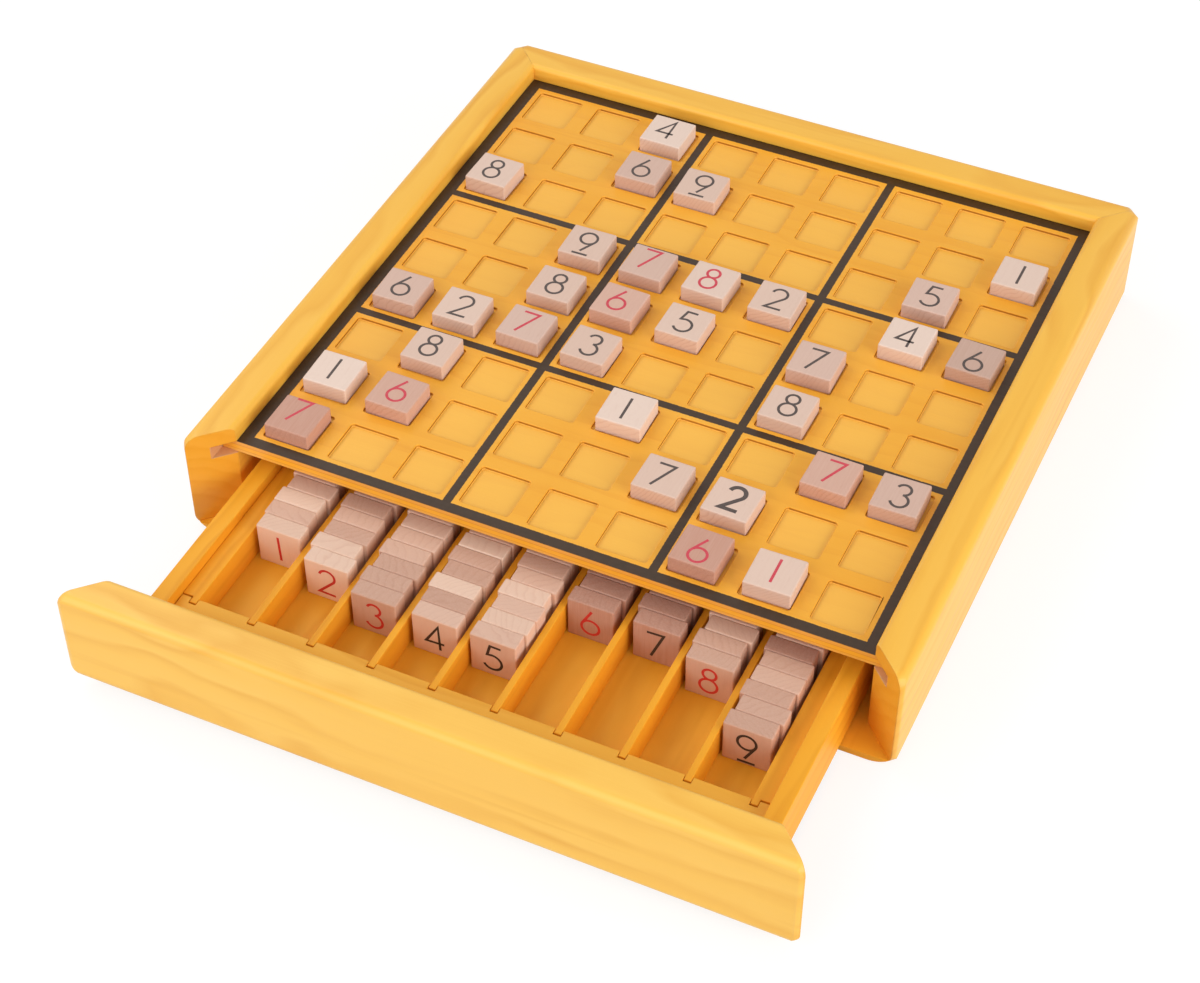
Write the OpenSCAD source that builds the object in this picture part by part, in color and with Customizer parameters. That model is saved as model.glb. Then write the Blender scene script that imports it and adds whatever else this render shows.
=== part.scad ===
// Wooden sudoku board: a mitred frame with a pocketed playing panel on top,
// loose square number tiles, and a drawer below whose nine slots hold the spare tiles on edge.
// Millimetres. X runs to the right, Y to the back, Z up.
// The origin is the middle of the case's underside, and the drawer is drawn partly open.

/* [Main size] */
// Side of the closed square case
case_size = 248.4; // [220:0.1:320]

/* [Tiles] */
// Thickness of a tile
tile_t = 6.4; // [5:0.1:6.6]

/* [Playing panel] */
// Play between a tile and each side of its pocket
pocket_clear = 0.8; // [0.4:0.1:1]
// Wood left between two neighbouring pockets
pocket_web = 6.4; // [5.6:0.1:9]
// Depth of a pocket
pocket_depth = 1.2; // [0.5:0.1:2]
// Corner radius of a pocket
pocket_round = 1; // [0.5:0.1:2]
// Wood between the outermost cells and the frame
panel_margin = 3; // [2:0.1:6]
// Thickness of the playing panel
panel_t = 4.8; // [4:0.1:7]
// How far the panel reaches into the frame on three sides
panel_tongue = 6; // [4:0.1:8]
// Gap between the panel's front edge and the closed drawer front
panel_front_gap = 0.4; // [0.3:0.1:1]

/* [Frame] */
// Width of a frame rail
rail_t = 13.2; // [12:0.1:18]
// Room between the tops of the spare tiles and the playing panel
head_room = 5.9; // [3:0.1:12]
// Depth of the playing surface below the top of the frame
rim_h = 6.3; // [5:0.1:7]
// Radius of the rails' outer top edge
top_round = 3; // [2:0.5:4.5]
// Radius of the rails' outer bottom edge
bottom_round = 4; // [1:0.5:5]
// Radius of the rails' inner top edge
lip_round = 2; // [0.5:0.1:3]
// Radius of the frame's upright corners
corner_round = 4; // [2:0.5:6]
// Radius that softens the foot of those corners
foot_round = 6; // [5:0.5:9]
// Radius that softens the top of those corners
tip_round = 5; // [4:0.5:8]
// Thickness of the base panel
base_t = 2.5; // [2:0.1:3.5]
// Distance of the base panel's front edge behind the face of the closed drawer
base_setback = 1.5; // [0:0.5:5]

/* [Drawer] */
// Distance the drawer is pulled out
drawer_open = 74; // [0:0.5:150]
// Gap between each drawer side and the frame
side_gap = 4.5; // [3.5:0.1:6]
// Thickness of the drawer's sides, cross wall and back
side_t = 6; // [4:0.5:7]
// Height of the drawer's sides and back
side_h = 19.6; // [16:0.1:21]
// Height of the lip below the drawer's floor
floor_lip = 1.7; // [1:0.1:2.5]
// Thickness of the drawer's floor
floor_t = 2.5; // [2:0.1:3]
// How far the drawer's floor is let into the wood around it
floor_tongue = 3; // [2:0.1:3.5]
// Depth of the slotted bar behind the drawer front
bar_t = 20; // [12:0.5:30]
// Gap between the left end of that bar and the drawer's side
bar_gap = 0.3; // [0:0.1:3]
// Length of a tile slot
slot_len = 65; // [60:0.5:80]
// Sideways room for a tile in its slot
slot_clear = 2.8; // [1.6:0.1:3.4]
// Thickness of a divider
divider_t = 2.4; // [1.8:0.1:3]
// Height of a divider above the drawer's floor
divider_h = 11.5; // [8:0.1:13]
// How far the ends of a divider are housed
divider_tongue = 2; // [1.5:0.1:3]
// Free length past the ends of a divider, in its housings and beside them
housing_play = 0.5; // [0.2:0.1:1.5]
// Gap between the drawer's back and the frame when closed
back_gap = 4; // [2:0.5:20]

/* [Guides] */
// Height of the strips that guide the drawer
guide_h = 10; // [6:0.5:16]
// Length of the strips that guide the drawer
guide_len = 190; // [120:5:190]

/* [Clearances] */
// Running clearance of the drawer below and beside it
run_clear = 0.3; // [0.2:0.05:0.4]
// Sideways gap at the mitres of the closed drawer front
mitre_gap = 0.6; // [0.4:0.1:1]
// Play of a glued tongue in its groove
glue_clear = 0.1; // [0.05:0.05:0.2]
// Gap between two tiles in a stack
stack_gap = 0.1; // [0.05:0.05:0.2]

/* [Hidden] */
$fn = 48;
// Cells along each side of the grid
cells = 9;
// The board row by row from the back, with a dot for an empty pocket
board_rows = [
    "..4......",
    "..69....1",
    "8......5.",
    "..9782.46",
    "..865.7..",
    "6273..8..",
    ".8..1..73",
    "16...72..",
    "7.....61."
];
digits = "123456789";
// How far a cutting shape runs past the face that it cuts
cut_over = 1;
// Angle whose multiples spread evenly, for the way that loose tiles lie
spread_angle = 137.5;
// Share of its free play that a loose tile uses
play_share = 0.5;
// Largest turn of a loose tile in its pocket, in degrees
tile_turn = 1.4;

opening = case_size - 2 * rail_t;
cell_pitch = (opening - 2 * panel_margin) / cells;
pocket_s = cell_pitch - pocket_web;
tile_s = pocket_s - 2 * pocket_clear;
groove_d = panel_tongue + glue_clear;
groove_h = panel_t + glue_clear;
// Distance from the middle of the case to the outside of its rounded corners
corner_reach = (case_size / 2 - corner_round) * sqrt(2) + corner_round;

drawer_z = base_t + run_clear;
drawer_w = opening - 2 * side_gap;
inner_w = drawer_w - 2 * side_t;
floor_z = drawer_z + floor_lip;
floor_top = floor_z + floor_t;
divider_top = floor_top + divider_h;
panel_z = floor_top + tile_s + head_room;
panel_top = panel_z + panel_t;
rail_h = panel_top + rim_h;
slot_pitch = tile_s + slot_clear + divider_t;
front_y = -opening / 2;
bar_y = front_y + bar_t;
wall_y = bar_y + slot_len;
back_y = opening / 2 - back_gap;
stack_pitch = tile_t + stack_gap;
housing_w = divider_t + 2 * glue_clear;
housing_d = divider_tongue + housing_play;
guide_w = side_gap - run_clear;

filled = [for (r = [0:cells - 1]) for (c = [0:cells - 1]) if (board_rows[r][c] != ".") [r, c]];
function tile_name(cell) = str("tile_r", cell[0] + 1, "c", cell[1] + 1);
function stack_name(d) = str("tile_stack_", d);
function on_board(d) = len([for (cell = filled) if (board_rows[cell[0]][cell[1]] == digits[d - 1]) 1]);
function stack_count(d) = cells - on_board(d);
function slot_x(d) = (d - (cells + 1) / 2) * slot_pitch;
function divider_x(k) = slot_x(k + 0.5);
function cell_x(c) = (c - (cells - 1) / 2) * cell_pitch;
function cell_y(r) = -cell_x(r);

// What is cut away to round a corner at the origin, with the wood towards +X and +Y
module corner_cut(r) {
    difference() {
        translate([-cut_over, -cut_over])
            square(r + cut_over);
        translate([r, r])
            circle(r);
    }
}

// Square with round corners, centred on the origin
module rounded_square(size, r) {
    difference() {
        square(size, center = true);
        for (turn = [0:90:270])
            rotate(turn)
                translate([-size / 2, -size / 2])
                    corner_cut(r);
    }
}

// Cross-section of the frame moulding: inner face on X = 0, underside on Y = 0
module rail_profile(height) {
    difference() {
        square([rail_t, height]);
        translate([rail_t, height])
            rotate(180)
                corner_cut(top_round);
        translate([rail_t, 0])
            rotate(90)
                corner_cut(bottom_round);
        translate([0, height])
            rotate(270)
                corner_cut(lip_round);
    }
}

// What softens the foot of the case's corners, at the given angles about its middle
module foot_cuts(turns) {
    for (turn = turns)
        rotate([90, 0, turn])
            linear_extrude(2 * rail_t, center = true)
                translate([corner_reach, 0])
                    rotate(90)
                        corner_cut(foot_round);
}

// A length of moulding on the +X side of the case, mitred at both ends
module mitred_rail(height, gap) {
    difference() {
        intersection() {
            translate([opening / 2, case_size / 2, 0])
                rotate([90, 0, 0])
                    linear_extrude(case_size)
                        rail_profile(height);
            linear_extrude(height)
                polygon([[gap, 0], [case_size + gap, -case_size], [case_size + gap, case_size]]);
            linear_extrude(height)
                rounded_square(case_size, corner_round);
        }
        foot_cuts([-45, 45]);
        for (turn = [-45, 45])
            rotate([90, 0, turn])
                linear_extrude(2 * rail_t, center = true)
                    translate([corner_reach, height])
                        rotate(180)
                            corner_cut(tip_round);
    }
}

// A frame rail on the +X side, which stands on the base and is grooved for the playing panel
module frame_rail() {
    color("SandyBrown")
        difference() {
            mitred_rail(rail_h, 0);
            translate([opening / 2 - cut_over, -case_size / 2, panel_z])
                cube([groove_d + cut_over, case_size, groove_h]);
            translate([0, -case_size, -cut_over])
                cube([case_size, 2 * case_size, base_t + cut_over]);
        }
}

module right_rail() {
    frame_rail();
}

module left_rail() {
    mirror([1, 0, 0])
        frame_rail();
}

module back_rail() {
    rotate([0, 0, 90])
        frame_rail();
}

// Panel with a shallow pocket for each cell
module board_panel() {
    panel_w = opening + 2 * panel_tongue;
    panel_d = opening + panel_tongue - panel_front_gap;
    color("Goldenrod")
        difference() {
            translate([-panel_w / 2, front_y + panel_front_gap, panel_z])
                cube([panel_w, panel_d, panel_t]);
            for (r = [0:cells - 1])
                for (c = [0:cells - 1])
                    translate([cell_x(c), cell_y(r), panel_top - pocket_depth])
                        linear_extrude(pocket_depth + cut_over)
                            rounded_square(pocket_s, pocket_round);
        }
}

// Panel under the rails, whose three outer edges carry on the rounding of the moulding
module base_panel() {
    color("Peru")
        difference() {
            intersection() {
                translate([-case_size / 2, -case_size / 2 + base_setback, 0])
                    cube([case_size, case_size - base_setback, base_t]);
                linear_extrude(base_t)
                    rounded_square(case_size, corner_round);
            }
            for (turn = [0, 90, 180])
                rotate([90, 0, turn])
                    linear_extrude(2 * case_size, center = true)
                        translate([case_size / 2, 0])
                            rotate(90)
                                corner_cut(bottom_round);
            foot_cuts([-135, -45, 45, 135]);
        }
}

// Strip on the base, beside the drawer, that keeps it running straight
module guide() {
    color("Peru")
        translate([opening / 2 - guide_w, opening / 2 - guide_len, base_t])
            cube([guide_w, guide_len, guide_h]);
}

module right_guide() {
    guide();
}

module left_guide() {
    mirror([1, 0, 0])
        guide();
}

// Carries what moves with the drawer, drawn closed, to where the drawer stands
module in_drawer() {
    translate([0, -drawer_open, 0])
        children();
}

// The fourth length of moulding, which closes the frame
module drawer_front() {
    color("SandyBrown")
        in_drawer()
            translate([0, 0, drawer_z])
                rotate([0, 0, -90])
                    mitred_rail(rail_h - drawer_z, mitre_gap);
}

// Housings for the ends of the dividers, cut into the face at Y = 0 towards +Y
module divider_housings() {
    for (k = [0:cells])
        translate([divider_x(k) - housing_w / 2, -cut_over, floor_top])
            cube([housing_w, housing_d + cut_over, divider_h + cut_over]);
}

// Groove for the drawer's floor, in the face at Y = 0 towards +Y
module floor_groove(length) {
    translate([-length / 2, -cut_over, floor_z])
        cube([length, floor_tongue + cut_over, floor_t + glue_clear]);
}

module drawer_bar() {
    color("Orange")
        in_drawer()
            difference() {
                translate([-inner_w / 2 + bar_gap, front_y, drawer_z])
                    cube([inner_w - bar_gap, bar_t, divider_top - drawer_z]);
                translate([0, bar_y, 0])
                    mirror([0, 1, 0]) {
                        divider_housings();
                        floor_groove(inner_w + 2 * cut_over);
                    }
            }
}

module drawer_cross_wall() {
    color("Orange")
        in_drawer()
            difference() {
                translate([-inner_w / 2, wall_y, floor_top])
                    cube([inner_w, side_t, divider_h]);
                translate([0, wall_y, 0])
                    divider_housings();
            }
}

// Side on the +X side of the drawer
module drawer_side() {
    side_len = back_y - front_y;
    color("Orange")
        in_drawer()
            difference() {
                translate([inner_w / 2, front_y, drawer_z])
                    cube([side_t, side_len, side_h]);
                translate([inner_w / 2 - cut_over, bar_y - floor_tongue, floor_z])
                    cube([floor_tongue + cut_over, back_y - bar_y + floor_tongue - side_t + floor_tongue,
                          floor_t + glue_clear]);
            }
}

module drawer_right_side() {
    drawer_side();
}

module drawer_left_side() {
    mirror([1, 0, 0])
        drawer_side();
}

module drawer_back() {
    color("Orange")
        in_drawer()
            difference() {
                translate([-inner_w / 2, back_y - side_t, drawer_z])
                    cube([inner_w, side_t, side_h]);
                translate([0, back_y - side_t, 0])
                    floor_groove(inner_w + 2 * cut_over);
            }
}

module drawer_floor() {
    tongue = floor_tongue - glue_clear;
    floor_d = back_y - side_t - bar_y + 2 * tongue;
    color("Peru")
        in_drawer()
            translate([-inner_w / 2 - tongue, bar_y - tongue, floor_z])
                cube([inner_w + 2 * tongue, floor_d, floor_t]);
}

// The dividers, one on each side of every tile slot, of which the two outermost
// are widened between their housings until they meet the drawer's sides
module drawer_dividers() {
    end_w = inner_w / 2 - glue_clear - divider_x(cells);
    color("Orange")
        in_drawer() {
            for (k = [0:cells])
                translate([divider_x(k) - divider_t / 2, bar_y - divider_tongue, floor_top])
                    cube([divider_t, slot_len + 2 * divider_tongue, divider_h]);
            for (side = [0, 1])
                mirror([side, 0, 0])
                    translate([divider_x(cells), bar_y + housing_play, floor_top])
                        cube([end_w, slot_len - 2 * housing_play, divider_h]);
        }
}

// The spare tiles of one digit, on edge against the cross wall
module tile_stack(d) {
    sway = play_share * slot_clear / 2;
    color("BurlyWood")
        in_drawer()
            for (i = [1:stack_count(d)])
                translate([slot_x(d) - tile_s / 2, wall_y - i * stack_pitch, floor_top])
                    translate([sway * sin(spread_angle * (i + cells * d)), 0, 0])
                        cube([tile_s, tile_t, tile_s]);
}

// A tile lying loose in its pocket
module board_tile(cell) {
    index = cells * cell[0] + cell[1];
    play = play_share * pocket_clear;
    color("BurlyWood")
        translate([cell_x(cell[1]), cell_y(cell[0]), panel_top - pocket_depth])
            translate([play * sin(spread_angle * index), play * cos(spread_angle * index), 0])
                rotate([0, 0, tile_turn * sin(2 * spread_angle * index)])
                    translate([-tile_s / 2, -tile_s / 2, 0])
                        cube([tile_s, tile_s, tile_t]);
}

left_rail();
right_rail();
back_rail();
board_panel();
base_panel();
left_guide();
right_guide();
drawer_front();
drawer_bar();
drawer_left_side();
drawer_right_side();
drawer_cross_wall();
drawer_back();
drawer_floor();
drawer_dividers();
for (d = [1:cells])
    tile_stack(d);
for (cell = filled)
    board_tile(cell);
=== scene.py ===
"""Looks of a wooden sudoku board whose drawer holds the spare number tiles.

Metres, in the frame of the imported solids: X to the right, Y to the back, Z up, underside on Z = 0.
"""

import math

import bpy
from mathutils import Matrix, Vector


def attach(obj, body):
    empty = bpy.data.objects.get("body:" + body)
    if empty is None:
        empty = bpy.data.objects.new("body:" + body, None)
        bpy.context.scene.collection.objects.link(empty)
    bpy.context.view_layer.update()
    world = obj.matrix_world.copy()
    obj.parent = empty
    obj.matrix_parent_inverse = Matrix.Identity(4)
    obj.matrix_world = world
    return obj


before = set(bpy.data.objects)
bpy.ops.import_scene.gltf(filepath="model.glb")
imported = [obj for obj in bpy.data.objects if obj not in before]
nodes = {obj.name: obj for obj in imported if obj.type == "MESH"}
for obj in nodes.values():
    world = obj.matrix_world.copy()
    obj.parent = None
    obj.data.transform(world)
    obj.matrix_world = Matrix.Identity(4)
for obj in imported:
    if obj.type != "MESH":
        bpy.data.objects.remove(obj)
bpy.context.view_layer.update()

MM = 0.001

# Places on the solids that the finishes follow.
CELL_PITCH = 24.0 * MM
SLOT_PITCH = 21.2 * MM
STACK_PITCH = 6.5 * MM
STACK_WALL_Y = -100.0 * MM
PANEL_BOTTOM, PANEL_TOP = 28.9 * MM, 33.7 * MM
PANEL_RIM = 110.0 * MM
POCKET_LEVEL = 33.2 * MM
GROOVE_LOW, GROOVE_HIGH = 28.8 * MM, 33.85 * MM
GROOVE_IN, GROOVE_END = 110.9 * MM, 117.3 * MM

# The printed grid: where its lines lie on either side of the middle, and where its border starts.
GRID_LINE = 36.0 * MM
GRID_LINE_HALF = 1.5 * MM
GRID_BORDER = 106.7 * MM
PRINT_DEPTH = 0.22 * MM
PRINT_SOFT = 0.12 * MM
PRINT_BLEED = 0.35 * MM

# One line per row of the board, back row first; a dot is an empty pocket.
BOARD_ROWS = (
    "..4......",
    "..69....1",
    "8......5.",
    "..9782.46",
    "..865.7..",
    "6273..8..",
    ".8..1..73",
    "16...72..",
    "7.....61.",
)
RED_CELLS = {"r4c4", "r4c5", "r5c4", "r6c3", "r7c8", "r8c2", "r9c1", "r9c7", "r9c8"}
BOLD_CELLS = {"r8c7"}
PALE_CELLS = {"r1c3", "r2c9", "r4c5", "r4c8", "r7c5", "r8c1"}
DUSKY_CELLS = {"r2c3", "r3c8", "r4c4", "r5c7", "r6c1", "r6c3", "r7c9"}
ROSY_CELLS = {"r5c4", "r7c8", "r8c2"}
DEEP_CELLS = {"r9c1", "r9c7"}
BROWN_CELLS = {"r4c9"}
RED_STACKS = {1, 2, 3, 6, 8}

# The shade of each spare tile from the front of its stack: pale, even, dusky or rosy.
STACK_SHADES = (
    "pepee", "ppdedd", "dddeeee", "edpddpe", "epepede", "rrr", "rrr", "ddee", "dddedre",
)

# How far a printed digit sits from the middle of its tile, in mm, where it is plainly off.
DIGIT_SHIFT = {
    "r9c1": (-0.8, 2.0), "r4c4": (-0.4, 1.2), "r9c7": (0.2, -1.4), "r4c9": (0.2, -1.6),
    "r1c3": (-0.5, 0.7), "r8c2": (0.4, 0.6), "r5c4": (-0.5, 0.4), "r7c9": (0.5, -0.5),
}


def rgb(red, green, blue):
    """A screen colour, 0 to 255, as a linear colour for a node socket."""
    def linear(v):
        v /= 255.0
        return v / 12.92 if v <= 0.04045 else ((v + 0.055) / 1.055) ** 2.4
    return (linear(red), linear(green), linear(blue), 1.0)


def grey(level):
    """A grey of the given linear brightness, for a node socket."""
    return (level, level, level, 1.0)


# Light, middle and dark tone of each wood.
RAIL_TONES = (rgb(253, 198, 84), rgb(250, 189, 68), rgb(230, 154, 34))
FRONT_TONES = (rgb(254, 203, 98), rgb(251, 195, 82), rgb(231, 160, 44))
SIDE_TONES = (rgb(250, 180, 52), rgb(246, 170, 38), rgb(224, 142, 20))
CROSS_TONES = (rgb(248, 186, 72), rgb(243, 176, 56), rgb(223, 148, 30))
SHEET_TONES = (rgb(251, 192, 66), rgb(247, 182, 50), rgb(227, 152, 26))
PLY_TONES = (rgb(250, 181, 58), rgb(245, 171, 44), rgb(230, 146, 26))
BARE_PINE = rgb(214, 160, 120)
POCKET_FLOOR = rgb(255, 197, 86)
# Painted shade on the routed pocket walls.
POCKET_WALL_SHADE = rgb(158, 92, 8)
GRID_INKS = (rgb(24, 14, 11), rgb(42, 28, 23))

# The layers on the panel's edge, from its underside at 0 to its top at 1.
PLIES = (
    (0.0, rgb(246, 184, 84)), (0.27, rgb(244, 176, 66)), (0.31, rgb(226, 148, 34)),
    (0.36, rgb(250, 182, 52)), (0.62, rgb(250, 180, 50)), (0.67, rgb(222, 144, 32)),
    (0.72, rgb(240, 170, 70)),
)

# What a tile's tint is multiplied with, for its own cast and for its rings, and its fine fibres.
BEECH_CAST = rgb(214, 186, 170)
BEECH_RINGS = rgb(205, 165, 145)
BEECH_FIBRES = rgb(238, 216, 202)
STACK_TINTS = {
    "p": rgb(244, 214, 192), "e": rgb(232, 196, 174),
    "d": rgb(214, 174, 152), "r": rgb(192, 146, 126),
}

OIL_IOR, FILM_IOR = 1.45, 1.42
OIL_MATT = 0.36
DRAWER_FILM = {"ior": 1.36, "matt": 0.50}
WORN_EDGE = 0.6 * MM
BUMP_DEPTH = 0.4 * MM
TILE_SEED = 3.7


class Graph:
    """The node tree of one material, with short calls for the nodes it is built from."""

    def __init__(self, name):
        self.material = bpy.data.materials.new(name)
        self.material.use_nodes = True
        self.tree = self.material.node_tree
        self.tree.nodes.clear()

    def node(self, kind, feeds=None, **settings):
        made = self.tree.nodes.new(kind)
        for key, value in settings.items():
            setattr(made, key, value)
        for key, value in (feeds or {}).items():
            self.feed(made.inputs[key], value)
        return made

    def feed(self, socket, value):
        if isinstance(value, bpy.types.NodeSocket):
            self.tree.links.new(value, socket)
        else:
            socket.default_value = value

    def math(self, operation, a, b=0.0, c=0.0, clamp=False):
        made = self.node("ShaderNodeMath", {0: a, 1: b, 2: c}, operation=operation)
        made.use_clamp = clamp
        return made.outputs[0]

    def add(self, a, b):
        return self.math("ADD", a, b)

    def mul(self, a, b):
        return self.math("MULTIPLY", a, b)

    def size(self, value):
        """The value without its sign."""
        return self.math("ABSOLUTE", value)

    def above(self, value, edge, soft):
        """0 below edge, 1 above it, over the width soft."""
        return self.math("MULTIPLY_ADD", value, 1.0 / soft, 0.5 - edge / soft, clamp=True)

    def below(self, value, edge, soft):
        """1 below edge, 0 above it, over the width soft."""
        return self.above(self.mul(value, -1.0), -edge, soft)

    def mix(self, factor, a, b, blend="MIX"):
        made = self.node("ShaderNodeMix", data_type="RGBA", blend_type=blend)
        for index, value in ((0, factor), (6, a), (7, b)):
            self.feed(made.inputs[index], value)
        return made.outputs[2]

    def ramp(self, factor, stops, interpolation="LINEAR"):
        made = self.node("ShaderNodeValToRGB", {"Fac": factor})
        ramp = made.color_ramp
        ramp.interpolation = interpolation
        while len(ramp.elements) < len(stops):
            ramp.elements.new(0.5)
        for element, (position, colour) in zip(ramp.elements, stops):
            element.position = position
            element.color = colour
        return made.outputs["Color"]

    def span(self, factor, low, high, least=0.0, most=1.0):
        """The factor's values from low to high, spread evenly from least to most."""
        made = self.node("ShaderNodeMapRange", {0: factor, 1: low, 2: high, 3: least, 4: most})
        return made.outputs[0]

    def vector(self, x, y, z):
        return self.node("ShaderNodeCombineXYZ", {0: x, 1: y, 2: z}).outputs[0]

    def parts(self, vector):
        return self.node("ShaderNodeSeparateXYZ", {0: vector}).outputs

    def noise(self, vector, scale, detail, rough=0.5):
        feeds = {"Vector": vector, "Scale": scale, "Detail": detail, "Roughness": rough}
        return self.node("ShaderNodeTexNoise", feeds).outputs[0]

    def place(self):
        return self.node("ShaderNodeTexCoord").outputs["Object"]

    def normal(self):
        return self.parts(self.node("ShaderNodeNewGeometry").outputs["Normal"])

    def surface(self, colour, roughness, height, bump, ior, worn_edge=None):
        """Ends the tree in a principled shader with a bumped surface.

        worn_edge is the radius to which the edges are rubbed, where they are.
        """
        feeds = {"Strength": bump, "Distance": BUMP_DEPTH, "Height": height}
        if worn_edge:
            rubbed = self.node("ShaderNodeBevel", {"Radius": worn_edge}, samples=6)
            feeds["Normal"] = rubbed.outputs[0]
        bumped = self.node("ShaderNodeBump", feeds).outputs[0]
        shader = self.node("ShaderNodeBsdfPrincipled", {
            "Base Color": colour, "Roughness": roughness, "IOR": ior, "Normal": bumped,
        })
        self.node("ShaderNodeOutputMaterial", {0: shader.outputs[0]})
        return self.material


def grain(g, along, pith, ring):
    """The yearly rings of a sawn board as 0 to 1, its fine fibres and its darker streaks.

    The wood grows along X, Y or Z. pith is the middle of the trunk in the two other axes, ring the
    spacing of the yearly rings.
    """
    axes = g.parts(g.place())
    lengthwise = "XYZ".index(along)
    across = [axes[i] for i in range(3) if i != lengthwise]

    def drawn_out(per_length, per_width, detail, rough=0.5):
        """Noise with so many features per metre along the wood and across it."""
        widths = [g.mul(a, per_width) for a in across]
        return g.noise(g.vector(g.mul(axes[lengthwise], per_length), *widths), 1.0, detail, rough)

    sway = g.mul(drawn_out(9.0, 26.0, detail=3.0), 4.0)
    squares = [g.math("POWER", g.add(a, -p), 2.0) for a, p in zip(across, pith)]
    radius = g.math("SQRT", g.add(*squares))
    rings = g.math("FRACT", g.math("MULTIPLY_ADD", radius, 1.0 / ring, sway))
    fibres = drawn_out(22.0, 900.0, detail=3.0, rough=0.6)
    streaks = drawn_out(9.0, 240.0, detail=1.0)
    return rings, fibres, streaks


def in_groove(g, axis):
    """1 inside the grooves of the two rails that stand across the given axis."""
    axes = g.parts(g.place())
    away = g.size(axes["XYZ".index(axis)])
    edge, end = 0.02 * MM, 0.05 * MM
    inside = g.mul(g.above(axes[2], GROOVE_LOW, edge), g.below(axes[2], GROOVE_HIGH, edge))
    inside = g.mul(inside, g.above(away, GROOVE_IN, end))
    return g.mul(inside, g.below(away, GROOVE_END, end))


def pine(name, along, pith, tones, ring=5.0 * MM, bare_groove=None, ior=OIL_IOR, matt=OIL_MATT,
         worn_edge=None):
    """Oiled pine: quiet yearly rings, fine fibres, a few darker streaks, darker end grain.

    bare_groove is the axis across a rail whose groove was left without oil.
    """
    g = Graph(name)
    light, mid, dark = tones
    rings, fibres, streaks = grain(g, along, pith, ring)
    quiet = g.span(g.noise(g.place(), 16.0, detail=2.0), 0.32, 0.68, 0.40, 0.95)
    pale_fibres = g.span(fibres, 0.35, 0.75, 0.0, 0.22)
    dark_streaks = g.span(streaks, 0.62, 0.80, 0.0, 0.34)
    end_grain = g.mul(g.above(g.size(g.normal()["XYZ".index(along)]), 0.55, 0.25), 0.55)
    tone = g.ramp(rings, ((0.0, light), (0.45, mid), (0.80, dark), (1.0, light)))
    tone = g.mix(quiet, tone, mid)
    tone = g.mix(pale_fibres, tone, light)
    tone = g.mix(dark_streaks, tone, dark)
    tone = g.mix(end_grain, tone, dark)
    if bare_groove:
        tone = g.mix(g.mul(in_groove(g, bare_groove), 0.85), tone, BARE_PINE)
    rough = g.span(fibres, 0.3, 0.7, matt - 0.05, matt + 0.07)
    height = g.add(fibres, g.mul(rings, 0.4))
    return g.surface(tone, rough, height, bump=0.10, ior=ior, worn_edge=worn_edge)


def printed_grid(g):
    """1 where the board is printed: two lines each way, and a border out to the frame."""
    axes = g.parts(g.place())
    bleed = g.mul(g.add(g.noise(g.place(), 1400.0, detail=2.0), -0.5), PRINT_BLEED)
    x, y = g.size(axes[0]), g.size(axes[1])
    off_line = g.math("MINIMUM", *[g.size(g.add(v, -GRID_LINE)) for v in (x, y)])
    lines = g.below(g.add(off_line, bleed), GRID_LINE_HALF, PRINT_SOFT)
    border = g.above(g.add(g.math("MAXIMUM", x, y), bleed), GRID_BORDER, PRINT_SOFT)
    on_face = g.above(axes[2], PANEL_TOP - PRINT_DEPTH, 0.1 * MM)
    return g.mul(g.math("MAXIMUM", lines, border), on_face)


def board_ply(name):
    """Varnished plywood with routed pockets, a dark printed grid and layered edges."""
    g = Graph(name)
    light, mid, deep = PLY_TONES
    rings, fibres, streaks = grain(g, "X", (0.31, -0.02), 9.0 * MM)
    axes = g.parts(g.place())
    cloud = g.span(g.noise(g.place(), 30.0, detail=3.0), 0.30, 0.72)
    tone = g.mix(cloud, mid, light)
    tone = g.mix(g.span(rings, 0.6, 0.95, 0.0, 0.18), tone, deep)
    tone = g.mix(g.span(streaks, 0.62, 0.80, 0.0, 0.35), tone, deep)
    # Routed pocket floors are a little paler than the face.
    pocket = g.below(axes[2], POCKET_LEVEL, 0.3 * MM)
    tone = g.mix(g.mul(pocket, 0.60), tone, POCKET_FLOOR)
    # The upright faces, the routed pocket walls, are painted darker: painted shade in the pockets.
    wall = g.below(g.size(g.normal()[2]), 0.2, 0.2)
    tone = g.mix(g.mul(wall, 0.88), tone, POCKET_WALL_SHADE)
    # The front and back edges show the layers of the sheet.
    level = g.add(axes[2], g.mul(fibres, 0.25 * MM))
    layers = g.ramp(g.span(level, PANEL_BOTTOM, PANEL_TOP), PLIES)
    upright = g.above(g.size(g.normal()[1]), 0.7, 0.2)
    rim = g.above(g.size(axes[1]), PANEL_RIM, 0.1 * MM)
    tone = g.mix(g.mul(upright, rim), tone, layers)
    printed = printed_grid(g)
    patches = g.span(g.noise(g.place(), 420.0, detail=3.0), 0.3, 0.8)
    tone = g.mix(g.mul(printed, 0.97), tone, g.mix(patches, *GRID_INKS))
    rough = g.add(g.span(fibres, 0.3, 0.7, 0.32, 0.44), g.mul(printed, 0.10))
    height = g.add(fibres, g.mul(printed, 0.5))
    return g.surface(tone, rough, height, bump=0.08, ior=FILM_IOR)


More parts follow.
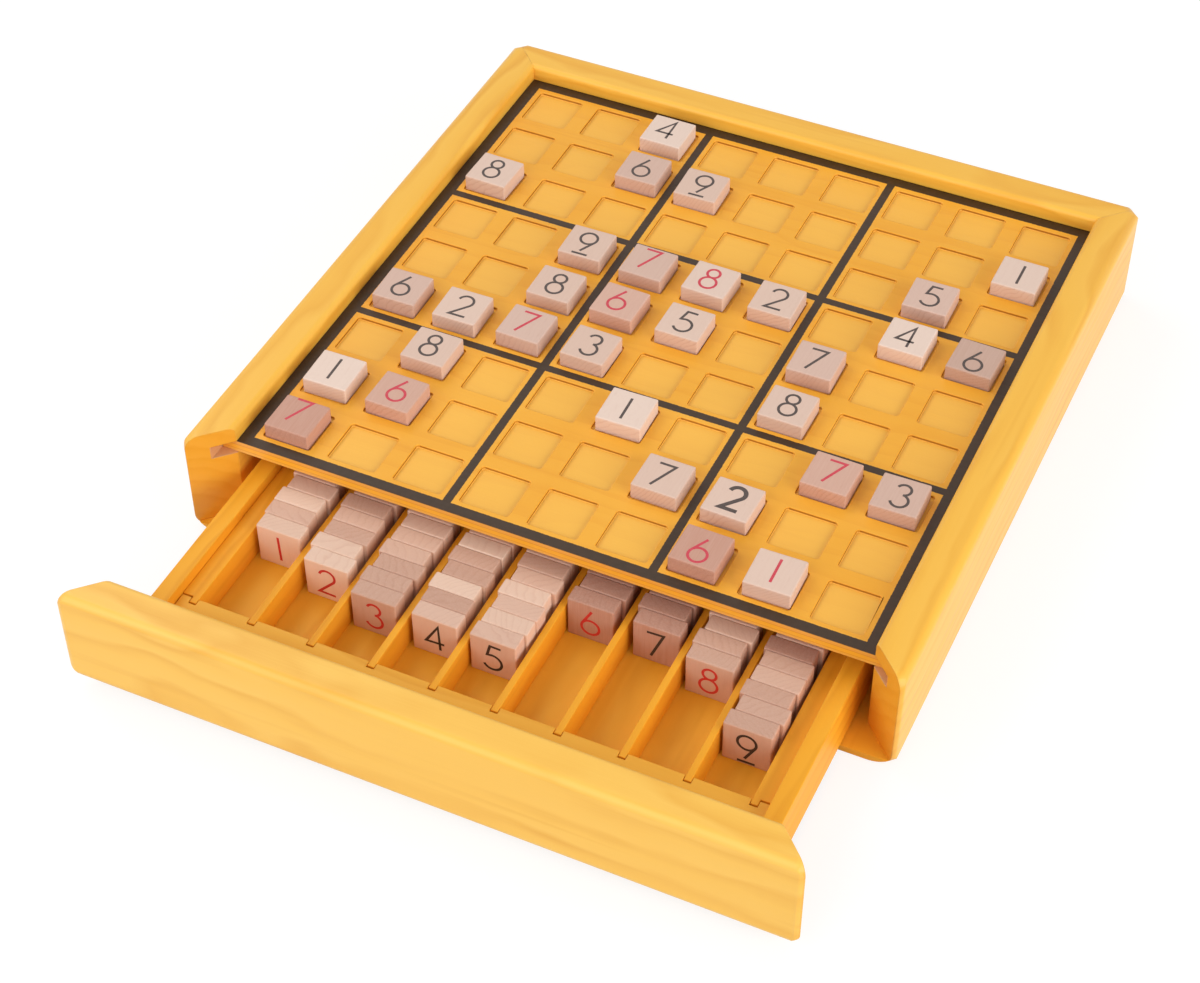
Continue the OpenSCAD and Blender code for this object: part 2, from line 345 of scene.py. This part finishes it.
def beech_tile(name, tints, upright=False):
    """Plain sanded beech. Each tile has its own slant and spacing of yearly rings.

    A tile on the board has its end grain in front and behind, one upright in the drawer on top.
    tints are the tiles' colours from the front of a stack to its back, or one colour for the board.
    """
    g = Graph(name)
    axes = g.parts(g.place())
    if upright:
        least_slant, more_slant = -1.2, 2.4
        least_rings, more_rings, end_marks = 260.0, 380.0, 3.6
        column = g.math("ROUND", g.mul(axes[0], 1.0 / SLOT_PITCH))
        row = g.math("FLOOR", g.mul(g.add(axes[1], -STACK_WALL_Y), 1.0 / STACK_PITCH))
        end_axis, cross_axis = 2, 1
    else:
        least_slant, more_slant = -1.15, 0.8
        least_rings, more_rings, end_marks = 420.0, 420.0, 5.5
        column = g.math("ROUND", g.mul(axes[0], 1.0 / CELL_PITCH))
        row = g.math("ROUND", g.mul(axes[1], 1.0 / CELL_PITCH))
        end_axis, cross_axis = 1, 2
    across = (axes[0], axes[cross_axis])

    def drawn_out(per_width, lengthwise, detail, rough=0.5):
        """Noise with so many features per metre across the grain; lengthwise is scaled already."""
        widths = [g.mul(a, per_width) for a in across]
        return g.noise(g.vector(*widths, lengthwise), 1.0, detail, rough)

    # Chance by tile: the slant of its rings, their number per metre and its cast.
    key = g.vector(column, row, TILE_SEED)
    chance = g.parts(g.node("ShaderNodeTexWhiteNoise", {"Vector": key}).outputs["Color"])
    slant = g.math("MULTIPLY_ADD", chance[0], more_slant, least_slant)
    per_metre = g.math("MULTIPLY_ADD", chance[1], more_rings, least_rings)
    cast = g.span(chance[2], 0.0, 1.0, 0.0, 0.22)
    steps = g.vector(column, row, row)
    shifted = g.node("ShaderNodeVectorMath", {0: g.place(), 1: steps}, operation="ADD").outputs[0]
    sway = g.mul(g.noise(shifted, 160.0, detail=2.0), 2.2)
    turns = (g.math("COSINE", slant), g.math("SINE", slant))
    flat = g.add(*[g.mul(a, turn) for a, turn in zip(across, turns)])
    rings = g.math("FRACT", g.math("MULTIPLY_ADD", flat, per_metre, sway))
    run = g.mul(axes[end_axis], 60.0)
    fibres = drawn_out(1900.0, g.add(run, g.mul(column, 7.0)), detail=2.0, rough=0.6)
    flecks = drawn_out(900.0, g.mul(run, 4.0), detail=1.0)

    tint = tints[0]
    if upright:
        count = len(tints)
        from_front = g.mul(g.add(row, count + 0.5), 1.0 / count)
        tint = g.ramp(from_front, [(i / count, t) for i, t in enumerate(tints)], "CONSTANT")
    tint = g.mix(cast, tint, BEECH_CAST, "MULTIPLY")
    shade = g.mix(0.5, tint, BEECH_RINGS, "MULTIPLY")
    end = g.above(g.size(g.normal()[end_axis]), 0.75, 0.3)
    line = g.ramp(
        rings, ((0.0, grey(0.0)), (0.60, grey(0.2)), (0.84, grey(1.0)), (1.0, grey(0.0)))
    )
    faint = g.span(g.noise(shifted, 90.0, detail=1.0), 0.35, 0.65, 0.35, 1.0)
    marks = g.mul(g.mul(g.mul(line, faint), 0.16), g.add(g.mul(end, end_marks), 0.6))
    tone = g.mix(marks, tint, shade)
    tone = g.mix(g.mul(end, 0.42), tone, shade)
    tone = g.mix(g.span(flecks, 0.62, 0.78, 0.0, 0.18), tone, shade)
    tone = g.mix(g.span(fibres, 0.3, 0.75, 0.0, 0.14), tone, BEECH_FIBRES)
    rough = g.span(fibres, 0.3, 0.7, 0.55, 0.68)
    height = g.add(fibres, g.mul(line, 0.35))
    return g.surface(tone, rough, height, bump=0.12, ior=FILM_IOR)


def ink(name, colour, worn):
    """Printed digit: a thin film, a little patchy where the wood's pores took less."""
    g = Graph(name)
    patches = g.noise(g.place(), 1500.0, detail=3.0, rough=0.65)
    tone = g.mix(g.span(patches, 0.40, 0.75, 0.0, 0.55), colour, worn)
    rough = g.span(patches, 0.3, 0.7, 0.5, 0.62)
    return g.surface(tone, rough, patches, bump=0.06, ior=FILM_IOR)


rail_wear = {"worn_edge": WORN_EDGE}
finishes = {
    "left_rail": pine("pine_left", "Y", (-0.16, -0.05), RAIL_TONES, bare_groove="X", **rail_wear),
    "right_rail": pine("pine_right", "Y", (0.19, -0.07), RAIL_TONES, bare_groove="X", **rail_wear),
    "back_rail": pine("pine_back", "X", (0.15, -0.06), RAIL_TONES, **rail_wear),
    "drawer_front": pine("pine_front", "X", (-0.15, -0.08), FRONT_TONES, ring=13.0 * MM),
    "board_panel": board_ply("grid_board"),
}
cross_pine = pine("drawer_pine_across", "X", (0.05, -0.04), CROSS_TONES, **DRAWER_FILM)
long_pine = pine("drawer_pine_lengthwise", "Y", (0.17, -0.05), SIDE_TONES, **DRAWER_FILM)
thin_sheet = pine("thin_sheet", "Y", (0.02, -0.30), SHEET_TONES, ring=11.0 * MM, **DRAWER_FILM)
for name in ("drawer_bar", "drawer_cross_wall", "drawer_back"):
    finishes[name] = cross_pine
for name in (
    "drawer_left_side", "drawer_right_side", "drawer_dividers", "left_guide", "right_guide",
):
    finishes[name] = long_pine
for name in ("base_panel", "drawer_floor"):
    finishes[name] = thin_sheet

plain_beech = beech_tile("beech_plain", [rgb(230, 200, 182)])
BEECH = (
    (PALE_CELLS, beech_tile("beech_pale", [rgb(238, 213, 197)])),
    (DUSKY_CELLS, beech_tile("beech_dusky", [rgb(219, 185, 168)])),
    (ROSY_CELLS, beech_tile("beech_rosy", [rgb(219, 176, 156)])),
    (DEEP_CELLS, beech_tile("beech_deep", [rgb(208, 158, 137)])),
    (BROWN_CELLS, beech_tile("beech_brown", [rgb(202, 166, 148)])),
)
black_ink = ink("ink_black", rgb(78, 66, 62), rgb(112, 96, 88))
red_ink = ink("ink_red", rgb(205, 62, 78), rgb(222, 104, 112))
# The spare tiles are less handled, so their digits are stronger.
fresh_black_ink = ink("ink_black_fresh", rgb(48, 38, 34), rgb(82, 66, 58))
fresh_red_ink = ink("ink_red_fresh", rgb(200, 44, 44), rgb(212, 82, 76))

# Angles in degrees: where a rail's edge stays sharp, and where a solid's edge is eased.
CREASE_ANGLE = 35.0
EASE_ANGLE = 40.0
WELD_REACH = 2e-6


def weld_group(name, crease=None):
    """Joins the split corners of an imported solid and clears its stored normals.

    Edges bent by more than crease degrees, where given, stay sharp.
    """
    group = bpy.data.node_groups.new(name, "GeometryNodeTree")
    for way in ("INPUT", "OUTPUT"):
        group.interface.new_socket(
            name="Geometry", in_out=way, socket_type="NodeSocketGeometry"
        )
    start = group.nodes.new("NodeGroupInput")
    merge = group.nodes.new("GeometryNodeMergeByDistance")
    merge.inputs["Distance"].default_value = WELD_REACH
    normal = group.nodes.new("GeometryNodeSetMeshNormal")
    normal.mode = "SHARPNESS"
    end = group.nodes.new("NodeGroupOutput")
    group.links.new(start.outputs[0], merge.inputs["Geometry"])
    group.links.new(merge.outputs["Geometry"], normal.inputs["Mesh"])
    last = normal.outputs["Mesh"]
    if crease:
        angle = group.nodes.new("GeometryNodeInputMeshEdgeAngle")
        bent = group.nodes.new("FunctionNodeCompare")
        bent.inputs["B"].default_value = math.radians(crease)
        sharp = group.nodes.new("GeometryNodeSetShadeSmooth")
        sharp.domain = "EDGE"
        sharp.inputs["Shade Smooth"].default_value = False
        group.links.new(angle.outputs["Unsigned Angle"], bent.inputs["A"])
        group.links.new(bent.outputs["Result"], sharp.inputs["Selection"])
        group.links.new(last, sharp.inputs[0])
        last = sharp.outputs[0]
    group.links.new(last, end.inputs[0])
    return group


WELD = weld_group("weld_and_smooth")
CREASE = weld_group("weld_and_crease", CREASE_ANGLE)


def soften(node, width, segments, merge):
    """Eases every sharp edge of a solid, as sanding does.

    Faces within merge degrees of each other become one first.
    """
    weld = node.modifiers.new("weld", "NODES")
    weld.node_group = WELD
    flat = node.modifiers.new("flat", "DECIMATE")
    flat.decimate_type = "DISSOLVE"
    flat.angle_limit = math.radians(merge)
    bevel = node.modifiers.new("ease", "BEVEL")
    bevel.width = width
    bevel.segments = segments
    bevel.limit_method = "ANGLE"
    bevel.angle_limit = math.radians(EASE_ANGLE)
    bevel.use_clamp_overlap = False
    shade = node.modifiers.new("shade", "WEIGHTED_NORMAL")
    shade.keep_sharp = False


def finish_node(name, material, width, segments=3, merge=0.3):
    """Gives a solid its material, and eases its edges where a width is given."""
    node = nodes[name]
    node.material_slots[0].material = material
    if width:
        soften(node, width, segments, merge)
    else:
        node.modifiers.new("crease", "NODES").node_group = CREASE


# How the edges are eased: width, segments and merge angle. The rails' wear is in their material.
TILE_EASE = 0.55 * MM
USUAL_EASE = (0.35 * MM, 2)
EASE = {
    "left_rail": (None,), "right_rail": (None,), "back_rail": (None,),
    "drawer_front": (0.35 * MM, 2, 3.0), "base_panel": (0.2 * MM, 2, 3.0),
    "board_panel": (0.28 * MM, 2), "drawer_dividers": (0.3 * MM, 2),
}
for name, material in finishes.items():
    finish_node(name, material, *EASE.get(name, USUAL_EASE))


def arc(cx, cy, radius, start, end, steps=28):
    """Points on a circle from one angle to another, in degrees."""
    turn = [math.radians(start + (end - start) * i / steps) for i in range(steps + 1)]
    return [(cx + radius * math.cos(a), cy + radius * math.sin(a)) for a in turn]


def ring(cx, cy, radius, steps=40):
    """Points around a whole circle, clockwise from its top."""
    return arc(cx, cy, radius, 90.0, 90.0 - 360.0 * (steps - 1) / steps, steps - 1)


def turned(points):
    """The points, half a turn about the middle."""
    return [(-u, -v) for u, v in points]


# Sizes of a digit about its middle, in mm. THIN and BOLD are half the width of a stroke.
TOP, FOOT = 5.2, -5.2
BOWL = 3.05
BOWL_MIDDLE = (0.0, -2.15)
STEM_TOP = (0.5, TOP)
UNDERLINE = -6.7
THIN, BOLD = 0.46, 0.74
LONGEST_MITRE = 0.38
INK_PROUD, INK_SUNK, INK_STEP = 0.03 * MM, 0.06 * MM, 0.006 * MM


def stem_foot():
    """Where the straight stem of a six meets its bowl, on the left."""
    dx, dy = STEM_TOP[0] - BOWL_MIDDLE[0], STEM_TOP[1] - BOWL_MIDDLE[1]
    angle = math.atan2(dy, dx) + math.acos(BOWL / math.hypot(dx, dy))
    return (BOWL_MIDDLE[0] + BOWL * math.cos(angle), BOWL_MIDDLE[1] + BOWL * math.sin(angle))


SIX = [([STEM_TOP, stem_foot()], False), (ring(*BOWL_MIDDLE, BOWL), True)]
NINE = [(turned(points), closed) for points, closed in SIX]

# The strokes of each digit: (points in mm, closed).
STROKES = {
    "1": [([(0.0, TOP), (0.0, FOOT)], False)],
    "2": [(arc(0.0, 2.45, 2.75, 168.0, -38.0) + [(-2.9, FOOT), (3.0, FOOT)], False)],
    "3": [
        (arc(0.0, 2.85, 2.35, 160.0, -82.0), False),
        (arc(0.0, -2.3, 2.9, 84.0, -160.0), False),
    ],
    "4": [([(1.5, FOOT), (1.5, TOP), (-3.3, -2.2), (3.1, -2.2)], False)],
    "5": [
        ([(2.5, TOP), (-1.2, TOP), (-2.1, 0.9)] + arc(-0.2, -2.0, 3.2, 118.0, -152.0)[1:], False),
    ],
    "6": SIX,
    "7": [([(-2.9, TOP), (2.8, TOP), (-1.9, FOOT)], False)],
    "8": [(ring(0.0, 2.95, 2.25), True), (ring(0.0, -2.25, 2.95), True)],
    "9": NINE + [([(-2.9, UNDERLINE), (2.9, UNDERLINE)], False)],
}


def stroke_edges(points, closed, half):
    """The two edges of a stroke of the given half width, mitred at its corners."""
    edges = []
    count = len(points)
    for i, point in enumerate(points):
        here = Vector(point)
        before = Vector(points[i - 1]) if closed or i else None
        after = Vector(points[(i + 1) % count]) if closed or i < count - 1 else None
        sides = [
            Vector((-d.y, d.x)).normalized()
            for d in ((here - before) if before else None, (after - here) if after else None)
            if d is not None
        ]
        normal = (sides[0] + sides[-1]).normalized()
        reach = half / max(LONGEST_MITRE, normal.dot(sides[0]))
        edges.append((here + normal * reach, here - normal * reach))
    return edges


def add_object(name, data):
    """A new object of the scene with the given data."""
    made = bpy.data.objects.new(name, data)
    bpy.context.scene.collection.objects.link(made)
    return made


def digit_piece(name, digit, half, spot):
    """A digit as thin closed strokes. spot(u, v, h) puts a point, h above the tile's face."""
    verts, faces = [], []
    for layer, (points, closed) in enumerate(STROKES[digit]):
        top = INK_PROUD + layer * INK_STEP
        base = len(verts)
        edges = stroke_edges(points, closed, half)
        for left, right in edges:
            for side, h in ((left, top), (right, top), (right, -INK_SUNK), (left, -INK_SUNK)):
                verts.append(spot(side.x * MM, side.y * MM, h))
        count = len(edges)
        for i in range(count if closed else count - 1):
            a, b = base + 4 * i, base + 4 * ((i + 1) % count)
            faces += [(a + k, a + (k + 1) % 4, b + (k + 1) % 4, b + k) for k in range(4)]
        if not closed:
            last = base + 4 * (count - 1)
            faces.append((base + 3, base + 2, base + 1, base))
            faces.append((last, last + 1, last + 2, last + 3))
    mesh = bpy.data.meshes.new(name)
    mesh.from_pydata(verts, [], faces)
    mesh.validate()
    mesh.update()
    return add_object(name, mesh)


def face_corners(node, axis, side):
    """The corners of a solid that lie furthest along one axis."""
    points = [v.co for v in nodes[node].data.vertices]
    limit = side * max(side * p[axis] for p in points)
    return [p for p in points if abs(p[axis] - limit) < 1e-6]


def add_digit(name, body, digit, material, half, spot):
    """Prints a digit on a tile, so that it moves with the tile."""
    piece = digit_piece(name, digit, half, spot)
    piece.data.materials.append(material)
    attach(piece, body)


# How far the other digits stray from the middle, in mm, and how far the stacks' digits lean.
DIGIT_DRIFT = 0.35
DIGIT_LEAN = 3.0

for r, row in enumerate(BOARD_ROWS, start=1):
    for c, digit in enumerate(row, start=1):
        if digit == ".":
            continue
        cell = f"r{r}c{c}"
        node = f"tile_{cell}"
        beech = next((wood for cells, wood in BEECH if cell in cells), plain_beech)
        finish_node(node, beech, TILE_EASE)
        corners = face_corners(node, 2, 1)
        middle = sum(corners, Vector()) / len(corners)
        near_left = min(corners, key=lambda p: p.x + p.y)
        near_right = max(corners, key=lambda p: p.x - p.y)
        right = (near_right - near_left).normalized()
        back = Vector((-right.y, right.x, 0.0))
        order = 9 * r + c
        drift = Vector((math.sin(2.4 * order), math.cos(3.1 * order))) * DIGIT_DRIFT
        du, dv = DIGIT_SHIFT.get(cell, drift)

        def on_top(u, v, h, middle=middle, right=right, back=back, du=du, dv=dv):
            return middle + right * (u + du * MM) + back * (v + dv * MM) + Vector((0.0, 0.0, h))

        colour = red_ink if cell in RED_CELLS else black_ink
        half = BOLD if cell in BOLD_CELLS else THIN
        add_digit(f"digit_{cell}", node, digit, colour, half, on_top)

for slot, shades in enumerate(STACK_SHADES, start=1):
    node = f"tile_stack_{slot}"
    tints = [STACK_TINTS[shade] for shade in shades]
    finish_node(node, beech_tile(f"beech_stack_{slot}", tints, upright=True), TILE_EASE)
    corners = face_corners(node, 1, -1)
    middle = sum(corners, Vector()) / len(corners)
    lean = math.radians(DIGIT_LEAN * math.sin(2.1 * slot))

    def on_front(u, v, h, middle=middle, lean=lean):
        turned_u = u * math.cos(lean) - v * math.sin(lean)
        turned_v = u * math.sin(lean) + v * math.cos(lean)
        return middle + Vector((turned_u, -h, turned_v))

    colour = fresh_red_ink if slot in RED_STACKS else fresh_black_ink
    add_digit(f"digit_stack_{slot}", node, str(slot), colour, THIN, on_front)


# Floor, light and camera.
FLOOR_REACH = 6.0
FLOOR_Z = -0.2 * MM
FLOOR_PLAIN, FLOOR_SHADED, FLOOR_GLOW = 0.62, 0.28, 0.78
AMBIENT, BACKDROP = 0.45, 1.0


def seen_directly(tree):
    """1 for rays that show the surroundings themselves: camera, glossy and transmission rays."""
    path = tree.nodes.new("ShaderNodeLightPath")
    total = path.outputs["Is Camera Ray"]
    for key in ("Is Glossy Ray", "Is Transmission Ray"):
        made = tree.nodes.new("ShaderNodeMath")
        made.operation = "MAXIMUM"
        tree.links.new(total, made.inputs[0])
        tree.links.new(path.outputs[key], made.inputs[1])
        total = made.outputs[0]
    return total


def floor_material():
    """Near white where it is seen, plain grey where it only lights the board."""
    g = Graph("pale_floor")
    plain = g.node("ShaderNodeBsdfDiffuse", {"Color": grey(FLOOR_PLAIN)})
    shaded = g.node("ShaderNodeBsdfDiffuse", {"Color": grey(FLOOR_SHADED)})
    glow = g.node("ShaderNodeEmission", {"Color": grey(1.0), "Strength": FLOOR_GLOW})
    white = g.node("ShaderNodeAddShader", {0: shaded.outputs[0], 1: glow.outputs[0]})
    mixed = g.node("ShaderNodeMixShader", {
        0: seen_directly(g.tree), 1: plain.outputs[0], 2: white.outputs[0],
    })
    g.node("ShaderNodeOutputMaterial", {0: mixed.outputs[0]})
    return g.material


floor_mesh = bpy.data.meshes.new("floor")
floor_mesh.from_pydata(
    [(x * FLOOR_REACH, y * FLOOR_REACH, FLOOR_Z) for x, y in ((-1, -1), (1, -1), (1, 1), (-1, 1))],
    [], [(0, 1, 2, 3)],
)
floor_mesh.materials.append(floor_material())
floor = add_object("floor", floor_mesh)

world = bpy.data.worlds.new("studio")
bpy.context.scene.world = world
world.use_nodes = True
sky = world.node_tree
sky.nodes.clear()
blend = sky.nodes.new("ShaderNodeMixShader")
sky.links.new(seen_directly(sky), blend.inputs[0])
for index, strength in ((1, AMBIENT), (2, BACKDROP)):
    light = sky.nodes.new("ShaderNodeBackground")
    light.inputs["Color"].default_value = grey(1.0)
    light.inputs["Strength"].default_value = strength
    sky.links.new(light.outputs[0], blend.inputs[index])
sky_out = sky.nodes.new("ShaderNodeOutputWorld")
sky.links.new(blend.outputs[0], sky_out.inputs[0])

BOARD_MIDDLE = Vector((0.0, -0.03, 0.02))


def softbox(name, direction, distance, size, share):
    """A large square lamp that looks at the middle of the board.

    share is what it adds to a white surface that faces it, where 1 is white.
    """
    place = BOARD_MIDDLE + Vector(direction).normalized() * distance
    lamp = bpy.data.lights.new(name, "AREA")
    lamp.shape = "SQUARE"
    lamp.size = size
    lamp.energy = share * (math.pi * distance) ** 2
    made = add_object(name, lamp)
    made.location = place
    made.rotation_euler = (BOARD_MIDDLE - place).to_track_quat("-Z", "Y").to_euler()


softbox("key", (-0.62, 0.25, 0.74), distance=1.8, size=1.0, share=0.25)
softbox("side", (0.92, -0.25, 0.30), distance=1.5, size=1.2, share=0.74)
softbox("front", (-0.40, -0.82, 0.42), distance=1.3, size=1.2, share=0.48)

# The camera was fitted to the printed grid in the photograph.
camera = bpy.data.cameras.new("camera")
camera.sensor_fit = "HORIZONTAL"
camera.sensor_width = 36.0
camera.lens = 75.089
camera.clip_start, camera.clip_end = 0.01, 50.0
eye = add_object("camera", camera)
eye.location = (0.246639, -0.597845, 0.597164)
eye.rotation_euler = (0.790217, 0.001054, 0.434669)
bpy.context.scene.camera = eye

bpy.context.scene.view_settings.view_transform = "Standard"
